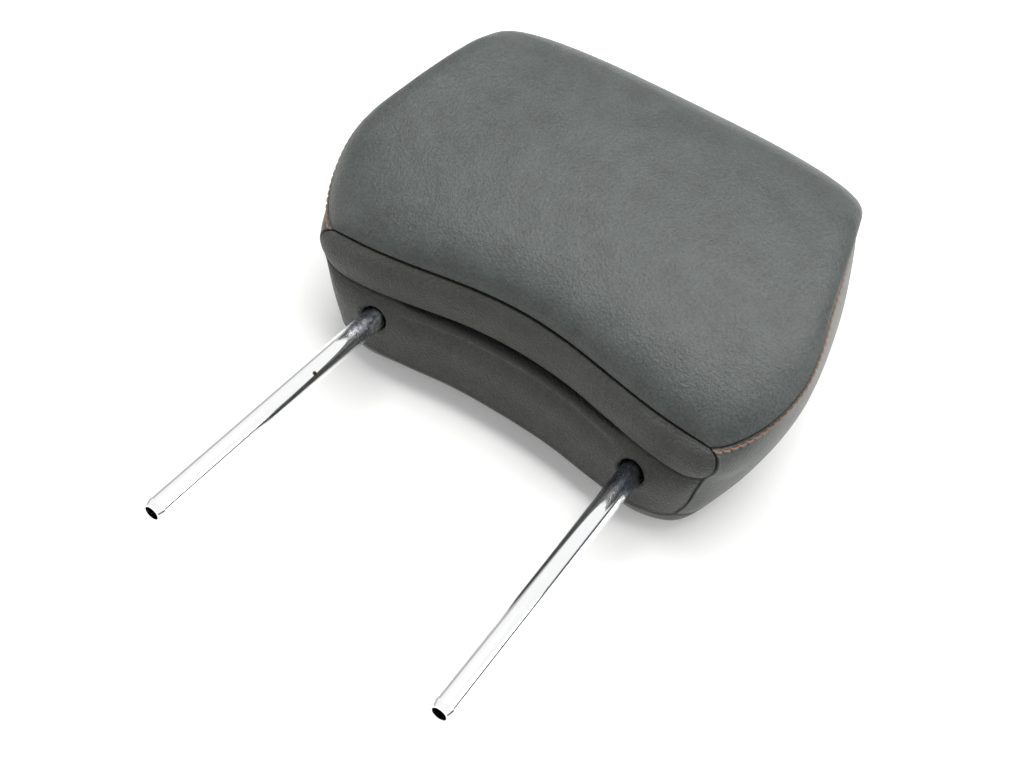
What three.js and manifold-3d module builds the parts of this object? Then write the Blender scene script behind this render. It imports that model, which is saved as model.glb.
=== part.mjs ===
// Car headrest lying on its back: a leather covered foam pad on a bent tube frame whose two posts
// plug into the seat back. X runs across the pad, Y from the posts to the pad's top edge, Z up.
import * as THREE from 'three';
import { mergeVertices } from 'three/addons/utils/BufferGeometryUtils.js';
import Module from 'manifold-3d';

const wasm = await Module();
wasm.setup();

// Driving dimensions, in millimetres

const PAD_WIDTH = 255; // widest place of the seam around the face
const FACE_LENGTH = 166; // bottom corner of the face to the top edge
const PAD_DEPTH = 100; // back of the pad to the face seam at mid height
const BACK_ROLL_SIDES = 30; // how wide the back panel's edges roll
const BACK_ROLL_ENDS = 26;
const COVER_THICKNESS = 3; // leather on its foam backing
const SEAM_DIP = 1.6; // how far the cover is drawn in at a seam
const GUSSET_BULGE = 4.8; // side panels swell past their seams
const BACK_BULGE = 1.5; // the back panel swells beside its seams, over this width
const BACK_BULGE_WIDTH = 16;
const BAND_BULGE = 4;
const LOWER_BULGE = 5;
const FACE_ROLL = 4.5; // how full the face is just inside its seams
const FACE_ROLL_WIDTH = 12;
const CORNER_SQUARENESS = 3.1; // exponent of the rounded top corners
const TOP_CURVE_WIDTH = 105; // the top outline: half its width and how far its middle rises
const TOP_CURVE_RISE = 20;
const SLIT_WIDTH = 142; // mouth of the closure under the band
const SLIT_DEPTH = 9;
const SLIT_GAP = 3;
const LIP_RISE = 2.6; // rounded lip under the slit
const VALLEY_DEPTH = 2; // shallow valley below the lip
const CLEARANCE = 0.3; // between pieces that touch
const FOAM_GAP = 0.55; // under the cover, where facets bend
const FOAM_SETBACK = 1.2; // more behind the mouth of the slit

const POST_DIAMETER = 12;
const TUBE_WALL = 2.4;
const POST_SPACING = 156;
const POST_LENGTH = 174; // tip to the bend inside the pad
const POST_TILT = 13.87; // degrees between a post and the pad's back
const BEND_FROM_CORNER = 14.94; // post bend above the pad's bottom corners
const FRAME_HEIGHT = 36; // tube axis above the back, inside the pad
const FRAME_RISE = 105; // from the post bend to the cross tube
const KNEE_RADIUS = 45;
const SHOULDER_RADIUS = 30;
const TIP_CHAMFER = 1.2;
const TIP_CHAMFER_LENGTH = 3.2;
const NOTCH_COUNT = 5;
const NOTCH_PITCH = 20;
const NOTCH_FROM_TIP = 35;
const NOTCH_WIDTH = 3;
const NOTCH_DEPTH = 1;
const POST_HOLE = 14.6; // opening in the cover around each post

const CARRIER_MARGIN = 12; // carrier plastic past the tube axis
const CARRIER_FROM_BEND = 23; // its bottom edge above the post bend
const SHELL_THICKNESS = 10.5;
const SHELL_CORNER = 14;
const SCREW_FROM_POST = 32;
const SCREW_FROM_CROSS_TUBE = 14;
const SCREW_FROM_EDGE = 20; // to the carrier's bottom edge
const SCREW_DIAMETER = 4;
const SCREW_LENGTH = 15;
const SCREW_HEAD = 8;
const SCREW_HEAD_HEIGHT = 2.4;
const DRIVE_SLOT = 1.2;

const STRIP_THICKNESS = 1.8;
const STRIP_HEIGHT = 7;
const STRIP_FROM_LIP = 1; // the strips start behind the lips, past their edges
const STRIP_LENGTH = 112;
const THREAD_DIAMETER = 1.4;

// Outlines, as shares of half the pad width, the face length and the pad depth

// the side seam: up the side of the face, over the top corner and down to the back
const SIDE_SEAM = [
  [0.853, -0.413, 0.79], [0.903, -0.383, 0.8], [0.955, -0.331, 0.822], [1.003, -0.253, 0.86],
  [1.028, -0.145, 0.928], [1.01, -0.042, 0.982], [0.971, 0.066, 1.008], [0.929, 0.193, 1.012],
  [0.885, 0.33, 0.995], [0.859, 0.418, 0.945], [0.844, 0.466, 0.85], [0.836, 0.491, 0.71],
  [0.829, 0.496, 0.54], [0.817, 0.488, 0.38], [0.8, 0.47, 0.24],
];
// the middle of the face panel, from its bottom seam over the top edge to the back
const MIDDLE_LINE = [
  [0, -0.343, 0.81], [0, -0.325, 0.865], [0, -0.283, 0.93], [0, -0.211, 0.985],
  [0, -0.09, 1.025], [0, 0.06, 1.05], [0, 0.211, 1.055], [0, 0.349, 1.045],
  [0, 0.468, 1.02], [0, 0.543, 0.962], [0, 0.593, 0.88], [0, 0.61, 0.74],
  [0, 0.61, 0.58], [0, 0.598, 0.4], [0, 0.565, 0.24],
];
// the back panel's side edge, bottom corner to top corner
const BACK_SIDE = [
  [0.812, -0.48, 0.2], [0.862, -0.433, 0.155], [0.902, -0.363, 0.145], [0.937, -0.28, 0.16],
  [0.959, -0.16, 0.185], [0.965, -0.042, 0.205], [0.957, 0.072, 0.215], [0.926, 0.2, 0.222],
  [0.878, 0.325, 0.23], [0.836, 0.42, 0.235], [0.8, 0.47, 0.24],
];
// the bottom corner of the pad, from the face to the end of the band, then to the back
const CORNER_SEAM = [
  [0.853, -0.413, 0.79], [0.895, -0.427, 0.765], [0.905, -0.438, 0.7], [0.876, -0.448, 0.6],
  [0.861, -0.457, 0.48], [0.845, -0.465, 0.32], [0.812, -0.48, 0.2],
];
// half of the band's lower edge and of the back panel's bottom edge, middle to corner
const BAND_EDGE = [
  [0, -0.37, 0.52], [0.235, -0.382, 0.52], [0.455, -0.415, 0.525], [0.643, -0.442, 0.53],
  [0.8, -0.453, 0.55], [0.876, -0.448, 0.6],
];
const BACK_BOTTOM = [
  [0, -0.488, 0.2], [0.235, -0.494, 0.2], [0.455, -0.516, 0.2], [0.607, -0.525, 0.2],
  [0.7, -0.515, 0.196], [0.765, -0.5, 0.194], [0.812, -0.48, 0.2],
];
// a flat core in the middle of the pad, which surface points swell away from
const CORE_LOW = [-0.6, -0.21, 0.36];
const CORE_HIGH = [0.6, 0.33, 0.6];
const ROLL_DIRECTION = new THREE.Vector3(0.2, 0.7, 1); // the face's fullness goes mostly forward

// Shares of a panel's own width or length

const FACE_ARCH = 0.91; // share of the half width that the arch under the face takes
const FACE_TOP = 0.64; // share of the side seam that runs up the face
const TOP_BLEND = 0.6; // by here the face's rows have the shape of the top outline
const ROLL_FADE = [0.5, 0.25]; // the face's fullness fades past this share, over that share
const END_ROOM = 0.2; // band and lower panel flatten toward their ends
const SIDE_ROOM = [0.45, 0.35]; // side panels flatten toward their bottom and top
const BACK_BULGE_SIDES = [0.55, 0.25]; // the back's swell grows past this share of the half width
const CORNER_FADE = 8; // how fast the shape of the band's end fades along the side panel
const SLIT_END = 9; // how suddenly the slit opens at its ends
const SLIT_MOUTH = 0.07;
const SLIT_FADE = 0.3;
const LIP = [0.105, 0.045]; // its place and spread down the lower panel
const VALLEY = [0.27, 0.09];
const LOWER_FULLNESS = 2.6; // brings the greatest swell of the lower panel to about LOWER_BULGE

// Facets: across the pad, up the face, and down the band and the lower panel as shares of their height
const ACROSS_COUNT = 20;
const ALONG_COUNT = 14;
const BAND_STEPS = [0, 0.08, 0.5, 0.88, 1];
const LOWER_STEPS = [0, 0.075, 0.15, 0.3, 0.58, 0.88, 1];
const TOP_CURVE_COUNT = 32;
const POST_SIDE_COUNT = 20;
const STRIP_STEP_COUNT = 12;

// Curves and shares

const toPad = ([x, y, z]) => new THREE.Vector3(x * PAD_WIDTH / 2, y * FACE_LENGTH, z * PAD_DEPTH);
const spline = (points) => new THREE.CatmullRomCurve3(points.map(toPad));
const mirrored = (half) => spline([...half.slice(1).reverse().map(([x, y, z]) => [-x, y, z]), ...half]);
const clamp01 = (t) => THREE.MathUtils.clamp(t, 0, 1);
const soft = (t) => THREE.MathUtils.smoothstep(t, 0, 1);
const arch = (t) => 0.5 + 0.5 * Math.cos(Math.PI * clamp01(t));
const pillow = (t) => 1 - (1 - clamp01(t)) ** 2.2;
const swell = (t) => Math.sin(Math.PI * clamp01(t)) ** 0.8;
const belly = (t) => Math.sin(Math.PI * clamp01(t)) ** 1.3;
const hump = (t, [place, spread]) => Math.exp(-(((t - place) / spread) ** 2));

const sideSeam = spline(SIDE_SEAM);
const middleLine = spline(MIDDLE_LINE);
const backSide = spline(BACK_SIDE);
const cornerSeam = spline(CORNER_SEAM);
const bandEdge = mirrored(BAND_EDGE);
const backBottom = mirrored(BACK_BOTTOM);

// a quarter of the top outline: x and height as shares, even along its real length
const topQuarter = new THREE.SplineCurve(Array.from({ length: TOP_CURVE_COUNT + 1 }, (_, i) => {
  const angle = i / TOP_CURVE_COUNT * Math.PI / 2;
  const power = 2 / CORNER_SQUARENESS;
  const wide = Math.sin(angle) ** power;
  const high = Math.cos(angle) ** power;
  return new THREE.Vector2(wide * TOP_CURVE_WIDTH, high * TOP_CURVE_RISE);
}));

// n steps from 0 to 1 whose first and last are narrow, to follow a seam
function shares(n, margin) {
  return Array.from({ length: n + 1 }, (_, i) => {
    if (i === 0 || i === n) return i / n;
    return margin + (i - 1) / (n - 2) * (1 - 2 * margin);
  });
}

const across = shares(ACROSS_COUNT, 0.018).map((t) => 2 * t - 1);
const upFace = shares(ALONG_COUNT, 0.03);
const downSide = [...BAND_STEPS.map((t) => t / 2), ...LOWER_STEPS.slice(1).map((t) => 0.5 + t / 2)];

// The pad's outer surface, one function for each panel

const core = new THREE.Box3(toPad(CORE_LOW), toPad(CORE_HIGH));
function outward(point) {
  return point.clone().sub(core.clampPoint(point, new THREE.Vector3())).normalize();
}

// the face stands fullest a little way inside its seams
function edgeRoll(fromSeam) {
  const near = pillow(fromSeam / FACE_ROLL_WIDTH);
  const wide = pillow(fromSeam / FACE_ROLL_WIDTH / 3.5);
  return FACE_ROLL * (near - wide);
}

// a runs across from -1 to 1, v from the bottom seam over the top edge to the back
function facePoint(a, v) {
  const side = sideSeam.getPointAt(v);
  const middle = middleLine.getPointAt(v);
  const quarter = topQuarter.getPointAt(Math.abs(a));
  const wide = quarter.x / TOP_CURVE_WIDTH;
  const high = quarter.y / TOP_CURVE_RISE;
  const towardTop = soft(v / TOP_BLEND);
  const x = THREE.MathUtils.lerp(Math.abs(a), wide, towardTop);
  const lift = THREE.MathUtils.lerp(arch(Math.abs(a) / FACE_ARCH), high, towardTop);
  const point = new THREE.Vector3(
    side.x * x * Math.sign(a),
    side.y + (middle.y - side.y) * lift,
    side.z + (middle.z - side.z) * high,
  );
  const fromSeam = Math.min(v * sideSeam.getLength(), (1 - x) * PAD_WIDTH / 2);
  const roll = edgeRoll(fromSeam) * (1 - soft((v - ROLL_FADE[0]) / ROLL_FADE[1]));
  return point.addScaledVector(outward(point).multiply(ROLL_DIRECTION), roll);
}

// blends four edge curves into a surface, with p across and q down
function blended(left, right, top, bottom, p, q) {
  const sides = left(q).multiplyScalar(1 - p).addScaledVector(right(q), p);
  const ends = top(p).multiplyScalar(1 - q).addScaledVector(bottom(p), q);
  const corners = left(0).multiplyScalar((1 - p) * (1 - q)).addScaledVector(right(0), p * (1 - q))
    .addScaledVector(left(1), (1 - p) * q).addScaledVector(right(1), p * q);
  return sides.add(ends).sub(corners);
}

const mirrorX = (v) => new THREE.Vector3(-v.x, v.y, v.z);

const endRoom = (a) => pillow((1 - Math.abs(a)) / END_ROOM);

function bandPoint(a, t) {
  const right = (q) => cornerSeam.getPoint(q / 2);
  const point = blended((q) => mirrorX(right(q)), right, (p) => facePoint(2 * p - 1, 0),
    (p) => bandEdge.getPointAt(p), (a + 1) / 2, t);
  // fuller toward its lower lip
  return point.addScaledVector(outward(point), BAND_BULGE * swell(t ** 1.5) * endRoom(a));
}

// 1 along the closure slit, 0 past its ends
const slitShare = (x) => soft((1 - Math.abs(x) / (SLIT_WIDTH / 2)) * SLIT_END);

function lowerPoint(a, t) {
  const right = (q) => cornerSeam.getPoint(0.5 + q / 2);
  const point = blended((q) => mirrorX(right(q)), right, (p) => bandEdge.getPointAt(p),
    (p) => backBottom.getPointAt(p), (a + 1) / 2, t);
  const open = slitShare(point.x);
  const bulge = LOWER_BULGE * LOWER_FULLNESS * t ** 0.8 * (1 - t) ** 1.5 * endRoom(a);
  const lip = LIP_RISE * hump(t, LIP) - VALLEY_DEPTH * hump(t, VALLEY);
  const slit = SLIT_DEPTH * (1 - soft(t / SLIT_MOUTH));
  point.z -= SLIT_GAP * open * (1 - soft(t / SLIT_FADE));
  return point.addScaledVector(outward(point), bulge + open * (lip - slit));
}

// the right side, with b up the side of the face and c from front to back
function gussetPoint(b, c) {
  const top = (q) => sideSeam.getPointAt(FACE_TOP + q * (1 - FACE_TOP));
  const point = blended((q) => cornerSeam.getPoint(q), top, (p) => sideSeam.getPointAt(p * FACE_TOP),
    (p) => backSide.getPointAt(p), b, c);
  const plain = cornerSeam.getPoint(0).lerp(cornerSeam.getPoint(1), c);
  point.addScaledVector(cornerSeam.getPoint(c).sub(plain), (1 - b) ** CORNER_FADE - (1 - b));
  const room = pillow(b / SIDE_ROOM[0]) * pillow((1 - b) / SIDE_ROOM[1]);
  return point.addScaledVector(outward(point), GUSSET_BULGE * belly(c) * room);
}

function backPoint(a, b) {
  const point = blended((q) => mirrorX(backSide.getPointAt(q)), (q) => backSide.getPointAt(q),
    (p) => backBottom.getPointAt(p), (p) => facePoint(2 * p - 1, 1), (a + 1) / 2, b);
  const fromSide = (1 - Math.abs(a)) * PAD_WIDTH / 2;
  const fromEnd = Math.min(b, 1 - b) * FACE_LENGTH;
  point.z *= 1 - pillow(fromSide / BACK_ROLL_SIDES) * pillow(fromEnd / BACK_ROLL_ENDS);
  const bulge = BACK_BULGE * belly(Math.min(fromSide, fromEnd) / BACK_BULGE_WIDTH);
  const share = soft((Math.abs(a) - BACK_BULGE_SIDES[0]) / BACK_BULGE_SIDES[1]);
  return point.addScaledVector(outward(point), bulge * share);
}

// Grids of surface points; every seam has the same points on both of its sides

const overTop = downSide.slice(1).map((t) => FACE_TOP + t * (1 - FACE_TOP));
const faceRows = [...upFace.map((t) => t * FACE_TOP), ...overTop];
const faceGrid = faceRows.map((v) => across.map((a) => facePoint(a, v)));
const bandGrid = BAND_STEPS.map((t) => across.map((a) => bandPoint(a, t)));
const lowerGrid = LOWER_STEPS.map((t) => across.map((a) => lowerPoint(a, t)));
const gussetGrid = downSide.map((c) => upFace.map((b) => gussetPoint(b, c)));
const backGrid = upFace.map((b) => across.map((a) => backPoint(a, b)));

// Solids

function geometryOf(positions, indices) {
  const geometry = new THREE.BufferGeometry();
  geometry.setAttribute('position', new THREE.Float32BufferAttribute(positions, 3));
  geometry.setIndex(indices);
  return geometry;
}

function toSolid(geometry) {
  const bare = geometry.clone();
  bare.deleteAttribute('normal');
  bare.deleteAttribute('uv');
  const merged = mergeVertices(bare, 1e-4);
  const index = merged.index.array;
  const kept = [];
  for (let i = 0; i < index.length; i += 3) {
    const [a, b, c] = [index[i], index[i + 1], index[i + 2]];
    if (a !== b && b !== c && c !== a) kept.push(a, b, c);
  }
  return new wasm.Manifold(new wasm.Mesh({
    numProp: 3,
    vertProperties: new Float32Array(merged.attributes.position.array),
    triVerts: new Uint32Array(kept),
  }));
}

function fromSolid(solid) {
  const mesh = solid.getMesh();
  return geometryOf(Array.from(mesh.vertProperties), Array.from(mesh.triVerts));
}

const cut = (geometry, ...tools) => fromSolid(tools.reduce((rest, tool) => rest.subtract(toSolid(tool)),
  toSolid(geometry)));

// rows of quads between two rows of vertex numbers
function stitchRows(indices, grid, flipped) {
  for (let i = 0; i + 1 < grid.length; i += 1) {
    for (let j = 0; j + 1 < grid[i].length; j += 1) {
      const [a, b, c, d] = [grid[i][j], grid[i][j + 1], grid[i + 1][j + 1], grid[i + 1][j]];
      if (flipped) indices.push(a, c, b, a, d, c);
      else indices.push(a, b, c, a, c, d);
    }
  }
}

// the place of a grid point, moved in from the seam so that the next panel keeps its gap
function clearOfSeam(grid, i, j) {
  const point = grid[i][j].clone();
  const rows = grid.length - 1;
  const columns = grid[0].length - 1;
  const towards = [];
  if (i === 0) towards.push(grid[1][j]);
  if (i === rows) towards.push(grid[rows - 1][j]);
  if (j === 0) towards.push(grid[i][1]);
  if (j === columns) towards.push(grid[i][columns - 1]);
  for (const other of towards) {
    point.addScaledVector(other.clone().sub(grid[i][j]).normalize(), CLEARANCE / 2);
  }
  return { point, onSeam: towards.length > 0 };
}

// a cover panel: the grid as its outside, its inside one thickness nearer the pad's core
function coverPanel(grid, flipped) {
  const positions = [];
  const outer = [];
  const inner = [];
  grid.forEach((row, i) => {
    outer.push([]);
    inner.push([]);
    row.forEach((_, j) => {
      const { point, onSeam } = clearOfSeam(grid, i, j);
      const out = outward(grid[i][j]);
      outer[i].push(positions.length / 3);
      positions.push(...point.clone().addScaledVector(out, onSeam ? -SEAM_DIP : 0));
      inner[i].push(positions.length / 3);
      positions.push(...point.clone().addScaledVector(out, -COVER_THICKNESS));
    });
  });
  const indices = [];
  stitchRows(indices, outer, flipped);
  stitchRows(indices, inner, !flipped);
  const last = grid.length - 1;
  stitchRows(indices, [inner[0], outer[0]], flipped);
  stitchRows(indices, [outer[last], inner[last]], flipped);
  stitchRows(indices, [inner.map((row) => row.at(-1)), outer.map((row) => row.at(-1))], flipped);
  stitchRows(indices, [outer.map((row) => row[0]), inner.map((row) => row[0])], flipped);
  return geometryOf(positions, indices);
}

const mirrorGrid = (grid) => grid.map((row) => row.map(mirrorX));

// the foam stands further back behind the mouth of the slit, in the first two rows of the lower panel
const behindSlit = lowerGrid.map((row, i) => row.map((point) => {
  const setback = i < 2 ? FOAM_SETBACK * slitShare(point.x) : 0;
  return point.clone().addScaledVector(outward(point), -setback);
}));

// the closed body inside the cover, a gap under its inner face
function padCore() {
  const depth = COVER_THICKNESS + FOAM_GAP;
  const positions = [];
  const indices = [];
  const add = (grid, flipped) => {
    const numbers = grid.map((row) => row.map((point) => {
      positions.push(...point.clone().addScaledVector(outward(point), -depth));
      return positions.length / 3 - 1;
    }));
    stitchRows(indices, numbers, flipped);
  };
  add(faceGrid, false);
  add([...bandGrid.slice(0, -1), ...behindSlit], true);
  add(gussetGrid, true);
  add(mirrorGrid(gussetGrid), false);
  add(backGrid, true);
  return geometryOf(positions, indices);
}

// the frame's centre line: straight stretches of one step joined by finely stepped bends
const BEND_STEP = THREE.MathUtils.degToRad(15);
class BentTubePath extends THREE.Curve {
  constructor(corners) {
    super();
    this.points = [corners[0].at];
    corners.slice(1, -1).forEach(({ at, radius }, i) => {
      const before = corners[i].at.clone().sub(at).normalize();
      const after = corners[i + 2].at.clone().sub(at).normalize();
      const half = before.angleTo(after) / 2;
      const reach = radius / Math.tan(half);
      const middle = before.clone().add(after).normalize();
      const centre = at.clone().addScaledVector(middle, radius / Math.sin(half));
      const start = at.clone().addScaledVector(before, reach).sub(centre);
      const end = at.clone().addScaledVector(after, reach).sub(centre);
      const sweep = start.angleTo(end);
      const steps = Math.ceil(sweep / BEND_STEP);
      for (let step = 0; step <= steps; step += 1) {
        const share = step / steps;
        const point = start.clone().multiplyScalar(Math.sin((1 - share) * sweep))
          .addScaledVector(end, Math.sin(share * sweep)).divideScalar(Math.sin(sweep));
        this.points.push(point.add(centre));
      }
    });
    this.points.push(corners.at(-1).at);
    this.steps = this.points.length - 1;
  }

  // equal shares of the path are its steps, however long they are
  getUtoTmapping(u) {
    return u;
  }

  getPoint(t, target = new THREE.Vector3()) {
    const place = t * this.steps;
    const index = Math.min(Math.floor(place + 1e-9), this.steps - 1);
    return target.lerpVectors(this.points[index], this.points[index + 1], place - index);
  }

  getTangent(t, target = new THREE.Vector3()) {
    const index = Math.round(t * this.steps);
    const ahead = this.points[Math.min(index + 1, this.steps)];
    const behind = this.points[Math.max(index - 1, 0)];
    const here = this.points[index];
    const into = here.clone().sub(behind).normalize();
    const outOf = ahead.clone().sub(here).normalize();
    return target.copy(into).add(outOf).normalize();
  }
}

const tilt = THREE.MathUtils.degToRad(POST_TILT);
const postDirection = new THREE.Vector3(0, Math.cos(tilt), -Math.sin(tilt));
const KNEE_Y = toPad(CORNER_SEAM.at(-1)).y + BEND_FROM_CORNER;
const kneeAt = (side) => new THREE.Vector3(side * POST_SPACING / 2, KNEE_Y, FRAME_HEIGHT);
const tipAt = (side) => kneeAt(side).addScaledVector(postDirection, -POST_LENGTH);
const shoulderAt = (side) => kneeAt(side).add(new THREE.Vector3(0, FRAME_RISE, 0));

const framePath = new BentTubePath([
  { at: tipAt(-1) },
  { at: kneeAt(-1), radius: KNEE_RADIUS },
  { at: shoulderAt(-1), radius: SHOULDER_RADIUS },
  { at: shoulderAt(1), radius: SHOULDER_RADIUS },
  { at: kneeAt(1), radius: KNEE_RADIUS },
  { at: tipAt(1) },
]);

function disc(radius, hole = 0) {
  const shape = new THREE.Shape();
  shape.absarc(0, 0, radius, 0, 2 * Math.PI);
  if (hole > 0) {
    const bore = new THREE.Path();
    bore.absarc(0, 0, hole, 0, 2 * Math.PI, true);
    shape.holes.push(bore);
  }
  return shape;
}

const alongFrame = (shape, sides) => new THREE.ExtrudeGeometry(shape, {
  steps: framePath.steps, curveSegments: sides / 2, extrudePath: framePath,
});

// turns a shape built along +Y so that it points into the pad along a post, then places it
function onPost(geometry, side, fromTip) {
  geometry.rotateX(-tilt);
  const at = tipAt(side).addScaledVector(postDirection, fromTip);
  return geometry.translate(at.x, at.y, at.z);
}

function postFrame() {
  const radius = POST_DIAMETER / 2;
  const tube = alongFrame(disc(radius, radius - TUBE_WALL), POST_SIDE_COUNT);
  const tools = [];
  for (const side of [-1, 1]) {
    const ring = new THREE.LatheGeometry([
      new THREE.Vector2(radius - TIP_CHAMFER, -1),
      new THREE.Vector2(radius + 2, -1),
      new THREE.Vector2(radius + 2, TIP_CHAMFER_LENGTH),
      new THREE.Vector2(radius + 0.05, TIP_CHAMFER_LENGTH),
      new THREE.Vector2(radius - TIP_CHAMFER, 0),
      new THREE.Vector2(radius - TIP_CHAMFER, -1),
    ], POST_SIDE_COUNT);
    tools.push(onPost(ring, side, 0));
  }
  for (let i = 0; i < NOTCH_COUNT; i += 1) {
    const block = new THREE.BoxGeometry(POST_DIAMETER, NOTCH_WIDTH, POST_DIAMETER);
    block.translate(-POST_DIAMETER + NOTCH_DEPTH, 0, 0);
    tools.push(onPost(block, -1, NOTCH_FROM_TIP + i * NOTCH_PITCH));
  }
  return cut(tube, ...tools);
}

// a round bar along a post, from the tip side of the cover to the bend
function postBore(side, diameter, sides) {
  const bore = new THREE.CylinderGeometry(diameter / 2, diameter / 2, POST_LENGTH, sides);
  return onPost(bore, side, POST_LENGTH / 2 + KNEE_RADIUS / 2);
}

// The carrier: two plastic shells clamped around the tube inside the foam

const carrierBottom = KNEE_Y + CARRIER_FROM_BEND;
const carrierTop = KNEE_Y + FRAME_RISE + CARRIER_MARGIN;
const carrierMiddle = new THREE.Vector3(0, (carrierBottom + carrierTop) / 2, FRAME_HEIGHT);

function carrierBlock(grow, bottom, top) {
  const halfWidth = POST_SPACING / 2 + CARRIER_MARGIN + grow;
  const halfLength = (carrierTop - carrierBottom) / 2 + grow;
  const corner = SHELL_CORNER + grow;
  const outline = new THREE.Shape();
  outline.absarc(halfWidth - corner, halfLength - corner, corner, 0, Math.PI / 2);
  outline.absarc(-halfWidth + corner, halfLength - corner, corner, Math.PI / 2, Math.PI);
  outline.absarc(-halfWidth + corner, -halfLength + corner, corner, Math.PI, Math.PI * 1.5);
  outline.absarc(halfWidth - corner, -halfLength + corner, corner, Math.PI * 1.5, Math.PI * 2);
  const block = new THREE.ExtrudeGeometry(outline, {
    depth: top - bottom, bevelEnabled: false, curveSegments: 4,
  });
  return block.translate(carrierMiddle.x, carrierMiddle.y, carrierMiddle.z + bottom);
}

const tubeRoom = () => alongFrame(disc(POST_DIAMETER / 2 + CLEARANCE), POST_SIDE_COUNT);

// screws sit head down in the rear shell, on the four corners of a rectangle inside the tube
const screwRows = [carrierBottom + SCREW_FROM_EDGE, KNEE_Y + FRAME_RISE - SCREW_FROM_CROSS_TUBE];
const screwPlaces = [-1, 1].flatMap((side) => screwRows.map((y) => new THREE.Vector3(
  side * (POST_SPACING / 2 - SCREW_FROM_POST), y, 0)));

const screwSeat = FRAME_HEIGHT - SHELL_THICKNESS + SCREW_HEAD_HEIGHT + CLEARANCE;

function screwSolid(grow) {
  const head = SCREW_HEAD / 2 + grow;
  const shank = SCREW_DIAMETER / 2 + grow;
  const profile = [
    [0, -SCREW_HEAD_HEIGHT - grow * 4],
    [head, -SCREW_HEAD_HEIGHT - grow * 4],
    [head, grow],
    [shank, grow],
    [shank, SCREW_LENGTH - 1 + grow],
    [shank / 2, SCREW_LENGTH + grow],
    [0, SCREW_LENGTH + grow],
  ];
  const lathe = new THREE.LatheGeometry(profile.map(([r, y]) => new THREE.Vector2(r, y)), 12);
  return lathe.rotateX(Math.PI / 2).translate(0, 0, screwSeat);
}

const placed = (geometry, at) => geometry.translate(at.x, at.y, at.z);
const screwRooms = () => screwPlaces.map((at) => placed(screwSolid(CLEARANCE), at));

function screw() {
  const arm = SCREW_HEAD * 0.6;
  const floor = screwSeat - SCREW_HEAD_HEIGHT;
  const slots = [[arm, DRIVE_SLOT], [DRIVE_SLOT, arm]].map(([x, y]) => (
    new THREE.BoxGeometry(x, y, SCREW_HEAD_HEIGHT).translate(0, 0, floor)));
  return cut(screwSolid(0), ...slots);
}

// The closure strips, sewn behind the two lips of the slit

// a bar of rectangular section that follows the band's edge; reach is inward and rise is up
function edgeBar(halfLength, reach, rise, steps) {
  const positions = [];
  const rings = [];
  for (let i = 0; i <= steps; i += 1) {
    const at = bandEdge.getPointAt(0.5 + (i / steps - 0.5) * 2 * halfLength / bandEdge.getLength());
    const inward = outward(at).setZ(0).normalize().negate();
    rings.push([]);
    for (const [p, q] of [[0, 0], [1, 0], [1, 1], [0, 1]]) {
      rings[i].push(positions.length / 3);
      positions.push(...at.clone().addScaledVector(inward, reach[p]).setZ(at.z + rise[q]));
    }
    rings[i].push(rings[i][0]);
  }
  const indices = [];
  stitchRows(indices, rings, false);
  const [a, b, c, d] = rings[0];
  const [e, f, g, h] = rings[steps];
  indices.push(a, c, b, a, d, c, e, f, g, e, g, h);
  return geometryOf(positions, indices);
}

const bandBack = COVER_THICKNESS + CLEARANCE * 2;
const lipBack = SLIT_DEPTH + COVER_THICKNESS + CLEARANCE * 2;
const stripUp = [STRIP_FROM_LIP, STRIP_FROM_LIP + STRIP_HEIGHT];
const stripDown = stripUp.map((rise) => -SLIT_GAP - rise).reverse();
const stripReach = (start) => [start, start + STRIP_THICKNESS];
const slotRoom = () => edgeBar(STRIP_LENGTH / 2 + CLEARANCE,
  [-1, lipBack + STRIP_THICKNESS + CLEARANCE],
  [stripDown[0] - CLEARANCE, stripUp[1] + CLEARANCE], STRIP_STEP_COUNT);

// The decorative thread beside each side seam, laid on the side panel

function stitchThread(side) {
  const row = gussetGrid[1].slice(1, -1);
  const lift = THREAD_DIAMETER / 2 + CLEARANCE * 1.5;
  const points = row.map((point) => {
    const lifted = point.clone().addScaledVector(outward(point), lift);
    return side < 0 ? mirrorX(lifted) : lifted;
  });
  return new THREE.ExtrudeGeometry(disc(THREAD_DIAMETER / 2), {
    steps: 32, curveSegments: 3, extrudePath: new THREE.CatmullRomCurve3(points),
  });
}

// The scene

const root = new THREE.Group();
const pad = new THREE.Group();
root.add(pad);

const leather = { color: 0x6b6e69, roughness: 0.5, metalness: 0 };
const lowerLeather = { color: 0x5b5c56, roughness: 0.55, metalness: 0 };
const chrome = { color: 0xd8dadb, roughness: 0.12, metalness: 1 };
const foam = { color: 0x3a3a3c, roughness: 0.95, metalness: 0 };
const plastic = { color: 0x1c1c1e, roughness: 0.6, metalness: 0 };
const zinc = { color: 0xb4b6b8, roughness: 0.4, metalness: 1 };
const thread = { color: 0x9c5f3f, roughness: 0.8, metalness: 0 };

function addPart(name, geometry, look) {
  geometry.computeVertexNormals();
  const mesh = new THREE.Mesh(geometry, new THREE.MeshStandardMaterial({ ...look, flatShading: true }));
  mesh.name = name;
  pad.add(mesh);
  return mesh;
}

const postHoles = [-1, 1].map((side) => postBore(side, POST_HOLE, POST_SIDE_COUNT));

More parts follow.
